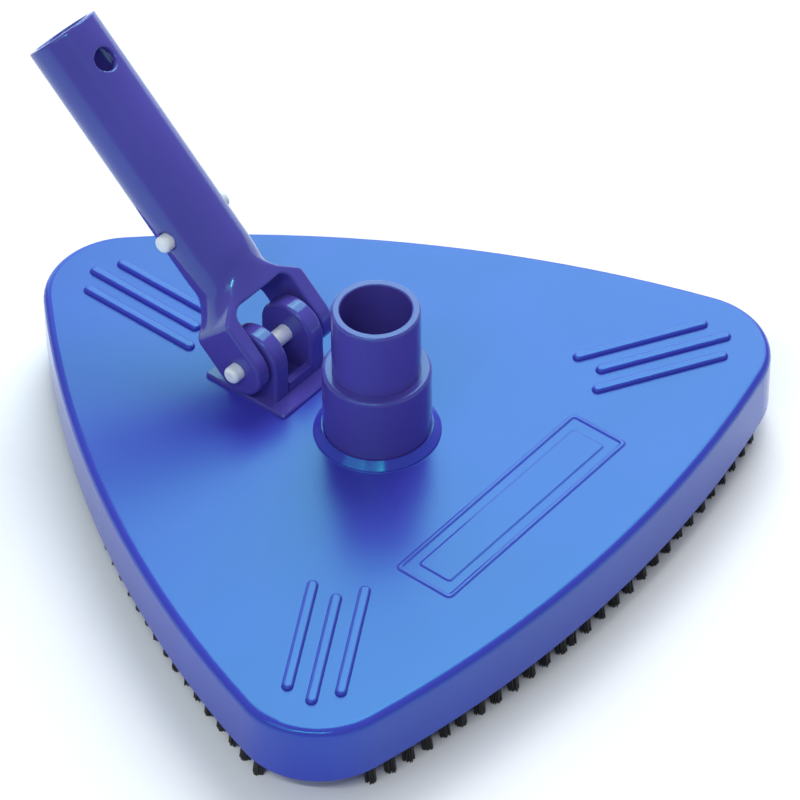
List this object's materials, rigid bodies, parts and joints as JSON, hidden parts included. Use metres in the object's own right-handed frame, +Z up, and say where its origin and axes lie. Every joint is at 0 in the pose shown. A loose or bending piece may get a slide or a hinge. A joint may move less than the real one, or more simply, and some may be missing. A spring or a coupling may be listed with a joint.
{
  "type": "manual pool vacuum head",
  "caption": "Rounded triangular weighted pool vacuum head with brush rows, a swivelling two-size hose spigot and a tilting pole handle.",
  "frame": {"origin": "on the hose axis, in the plane of the base plate's underside, at the centre of the suction throat", "axes": "+Z up along the hose axis, -Y towards the front side with the blank badge panel, X along the handle's pivot pin"},
  "size_m": [0.2684, 0.2565, 0.1545],
  "materials": {
    "blue_shell": "satin moulded blue plastic",
    "blue_fitting": "glossy deep blue moulded plastic",
    "blue_plate": "matte moulded blue plastic",
    "white_nylon": "satin natural nylon",
    "black_bristle": "matte nylon filament",
    "black_bar": "matte moulded plastic",
    "ballast_steel": "dull grey coating",
    "stainless": "plain stainless steel",
    "black_rubber": "matte rubber"
  },
  "bodies": {
    "head": {"top_shell": "blue_shell", "base_plate": "blue_plate", "base_screws": "stainless", "brush_bar_front": "black_bar", "brush_bar_right": "black_bar", "brush_bar_left": "black_bar", "bristles_front": "black_bristle", "bristles_right": "black_bristle", "bristles_left": "black_bristle", "weight_rear": "ballast_steel", "weight_left": "ballast_steel", "weight_right": "ballast_steel", "swivel_retainer": "blue_plate", "retainer_screws": "stainless", "swivel_seal": "black_rubber", "hinge_bracket": "blue_fitting", "bracket_screws": "stainless", "pivot_pin": "white_nylon"},
    "hose": {"hose_spigot": "blue_fitting"},
    "handle": {"handle_yoke": "blue_fitting", "clip_spring": "stainless"},
    "button_left": {"clip_button_left": "white_nylon"},
    "button_right": {"clip_button_right": "white_nylon"}
  },
  "joints": [
    {"name": "handle_tilt", "type": "hinge", "parent": "head", "child": "handle", "pos_m": [0, 0.0476, 0.039], "axis": [1, 0, 0], "range_deg": [-43, 66]},
    {"name": "hose_swivel", "type": "hinge", "parent": "head", "child": "hose", "pos_m": [0, 0, 0.03], "axis": [0, 0, 1], "continuous": true},
    {"name": "button_left_press", "type": "slide", "parent": "handle", "child": "button_left", "axis": [1, 0, 0], "range_m": [0, 0.0034], "stiffness_N_per_m": 1500, "springref_m": -0.002, "deforming": ["clip_spring"]},
    {"name": "button_right_press", "type": "slide", "parent": "handle", "child": "button_right", "axis": [-1, 0, 0], "range_m": [0, 0.0034], "stiffness_N_per_m": 1500, "springref_m": -0.002, "deforming": ["clip_spring"]}
  ]
}
